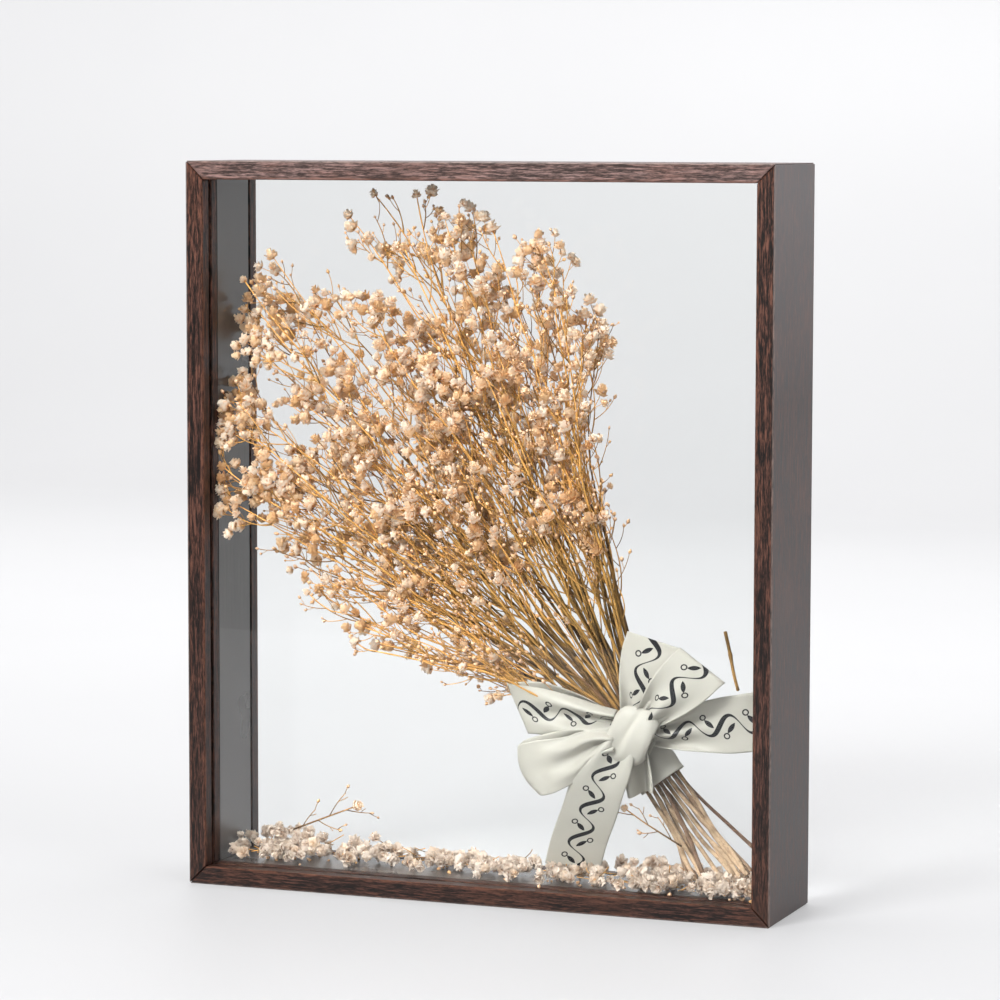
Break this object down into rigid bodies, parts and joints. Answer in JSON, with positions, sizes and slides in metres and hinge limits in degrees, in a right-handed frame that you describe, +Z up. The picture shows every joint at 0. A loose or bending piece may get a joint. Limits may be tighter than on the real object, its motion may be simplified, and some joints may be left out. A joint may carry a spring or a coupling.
{
  "type": "dried flower box frame",
  "caption": "Upright deep box frame, glazed front and back, holding a slanting fan of dried baby's breath tied with a satin bow above fallen blossoms.",
  "frame": {"origin": "middle of the underside of the bottom rail, halfway between the front and rear faces", "axes": "+Z up, +X to the viewer's right, and the front face with the lip looks towards -Y"},
  "size_m": [0.265, 0.056, 0.315],
  "materials": {
    "dark_wood": "dark walnut-brown stained rails with a satin lacquer",
    "dark_liner": "dark brown-grey lacquered lining strips, semi-gloss",
    "clear_glass": "clear flat glass, very slightly green at the edges",
    "dry_stem": "dry golden-brown plant stem, matt",
    "dry_blossom": "papery cream and peach dried petals, matt",
    "cream_satin": "ivory satin ribbon with a dark printed flourish"
  },
  "bodies": {
    "root": {"fallen_blossoms_left": "dry_blossom", "fallen_blossoms_right": "dry_blossom", "glass_front": "clear_glass", "glass_rear": "clear_glass", "liner_bottom": "dark_liner", "liner_left": "dark_liner", "liner_right": "dark_liner", "liner_top": "dark_liner", "loose_stem": "dry_stem", "loose_twig_left": "dry_stem", "loose_twig_right": "dry_stem", "rail_bottom": "dark_wood", "rail_left": "dark_wood", "rail_right": "dark_wood", "rail_top": "dark_wood", "rear_bead_bottom": "dark_wood", "rear_bead_left": "dark_wood", "rear_bead_right": "dark_wood", "rear_bead_top": "dark_wood", "ribbon_knot": "cream_satin", "ribbon_loop_left_lower": "cream_satin", "ribbon_loop_left_upper": "cream_satin", "ribbon_loop_right": "cream_satin", "ribbon_loop_right_upper": "cream_satin", "ribbon_tail_long": "cream_satin", "ribbon_tail_short": "cream_satin", "ribbon_tail_up": "cream_satin", "ribbon_wrap": "cream_satin", "spray_01": "dry_blossom", "spray_02": "dry_blossom", "spray_03": "dry_blossom", "spray_04": "dry_blossom", "spray_05": "dry_blossom", "spray_06": "dry_blossom", "spray_07": "dry_blossom", "spray_08": "dry_blossom", "spray_09": "dry_blossom", "spray_10": "dry_blossom", "spray_11": "dry_blossom", "spray_12": "dry_blossom", "spray_13": "dry_blossom", "spray_14": "dry_blossom", "spray_15": "dry_blossom", "stem_01": "dry_stem", "stem_02": "dry_stem", "stem_03": "dry_stem", "stem_04": "dry_stem", "stem_05": "dry_stem", "stem_06": "dry_stem", "stem_07": "dry_stem", "stem_08": "dry_stem", "stem_09": "dry_stem", "stem_10": "dry_stem", "stem_11": "dry_stem", "stem_12": "dry_stem", "stem_13": "dry_stem", "stem_14": "dry_stem", "stem_15": "dry_stem"}
  },
  "joints": []
}
